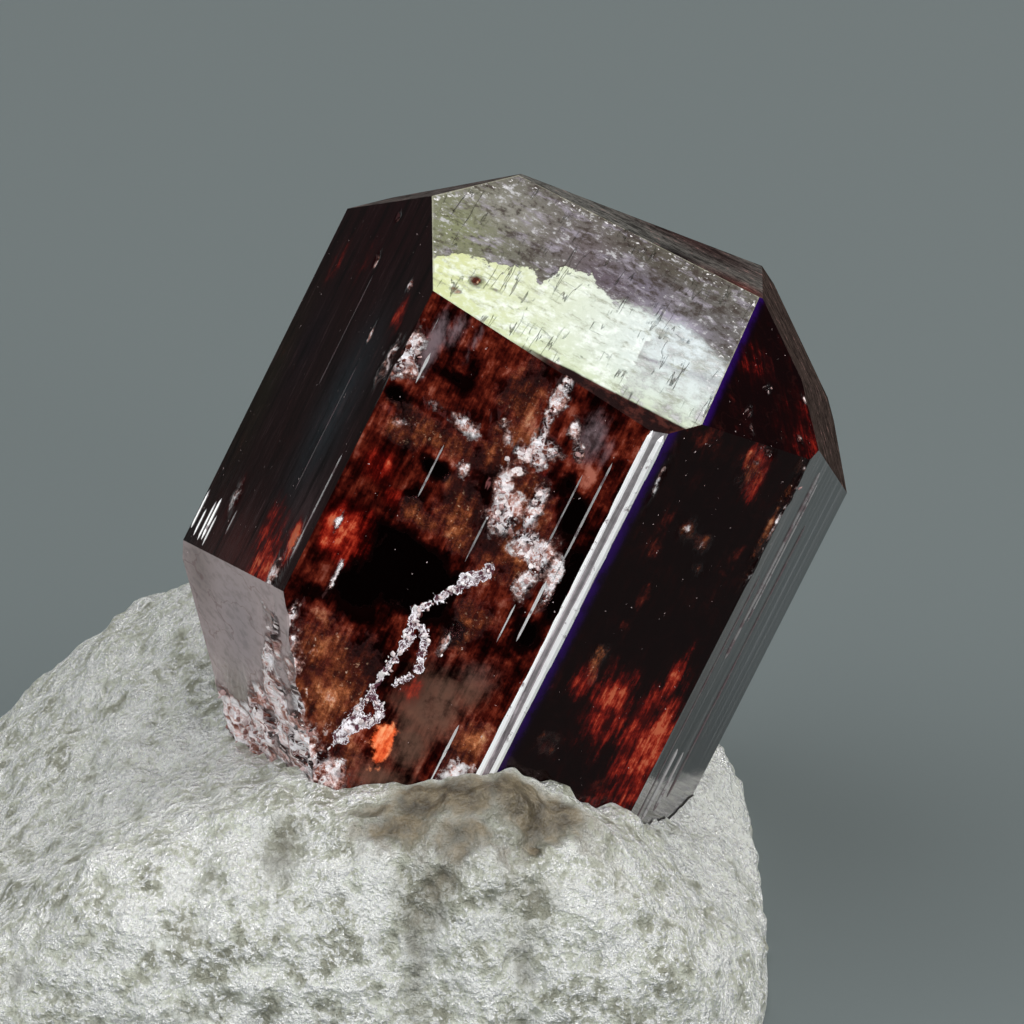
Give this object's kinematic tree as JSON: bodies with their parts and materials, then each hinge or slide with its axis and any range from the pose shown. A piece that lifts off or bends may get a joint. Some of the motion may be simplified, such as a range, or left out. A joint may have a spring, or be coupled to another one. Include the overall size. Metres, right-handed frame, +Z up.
{
  "type": "painite crystal on marble",
  "caption": "Dark red hexagonal mineral crystal with bright end faces, seated in a loose lump of white granular marble cut flat below.",
  "frame": {"origin": "middle of the specimen's footprint box, on the flat sawn base of the marble", "axes": "+Z up, -Y towards the crystal's wide front face, the crystal leans towards +X"},
  "size_m": [0.015, 0.0146, 0.0118],
  "materials": {
    "painite": "glossy deep red crystal, see-through only where thin, with growth lines and chips",
    "marble": "sugary white calcite marble with glossy grains"
  },
  "bodies": {
    "root": {"painite_crystal": "painite", "marble_matrix": "marble"}
  },
  "joints": []
}
